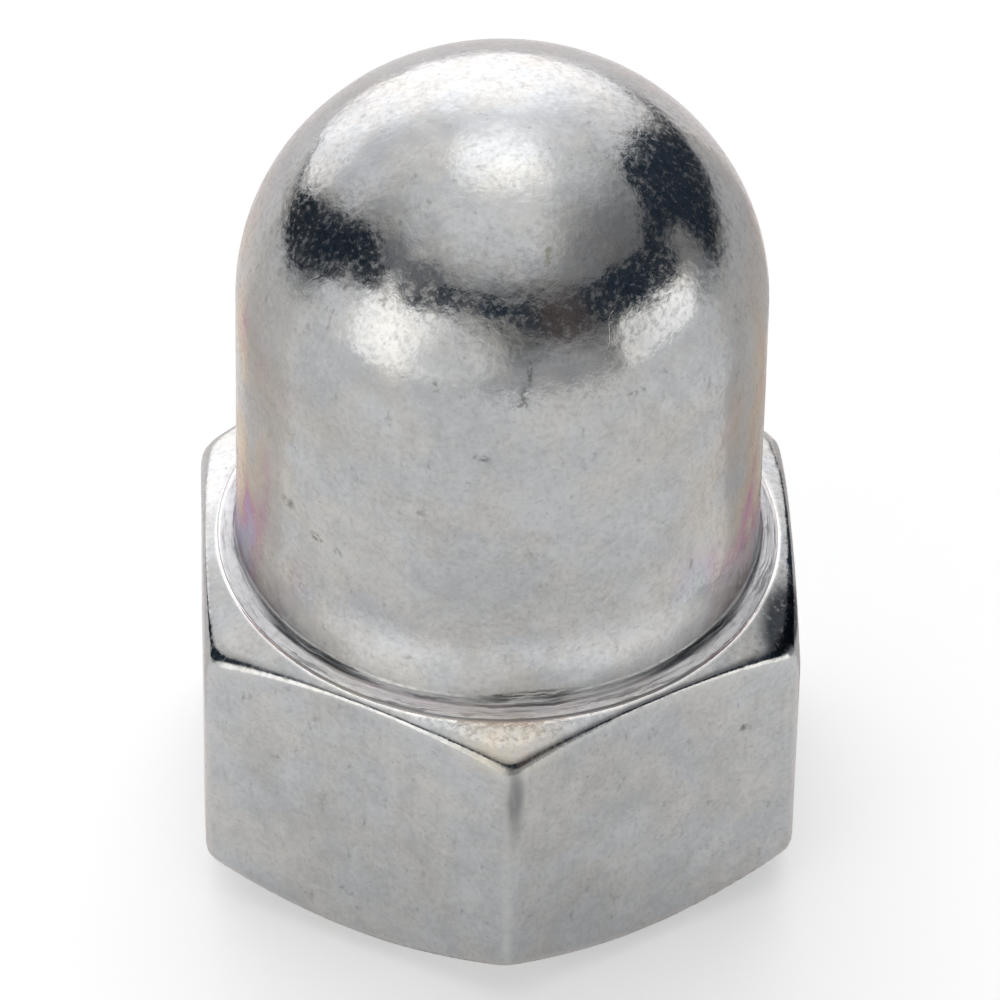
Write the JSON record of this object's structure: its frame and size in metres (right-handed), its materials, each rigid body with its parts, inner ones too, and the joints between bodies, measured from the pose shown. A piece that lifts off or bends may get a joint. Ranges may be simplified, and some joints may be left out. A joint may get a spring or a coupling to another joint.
{
  "type": "cap nut",
  "caption": "High domed cap nut: a chamfered hexagon under a tall round cap that covers a screw's end, with a blind threaded hole and a flat round bearing face.",
  "frame": {"origin": "centre of the round bearing face, where the thread's axis leaves the nut", "axes": "+Z along the thread's axis, from the bearing face to the crown of the cap; a corner of the hexagon points along -Y and two flats face -X and +X"},
  "size_m": [0.013, 0.0148, 0.0192],
  "materials": {
    "zinc_plated_steel": "bright zinc plate with a clear chromate film, smooth from tumbling, with fine pits and scratches"
  },
  "bodies": {
    "root": {"cap_nut": "zinc_plated_steel"}
  },
  "joints": []
}
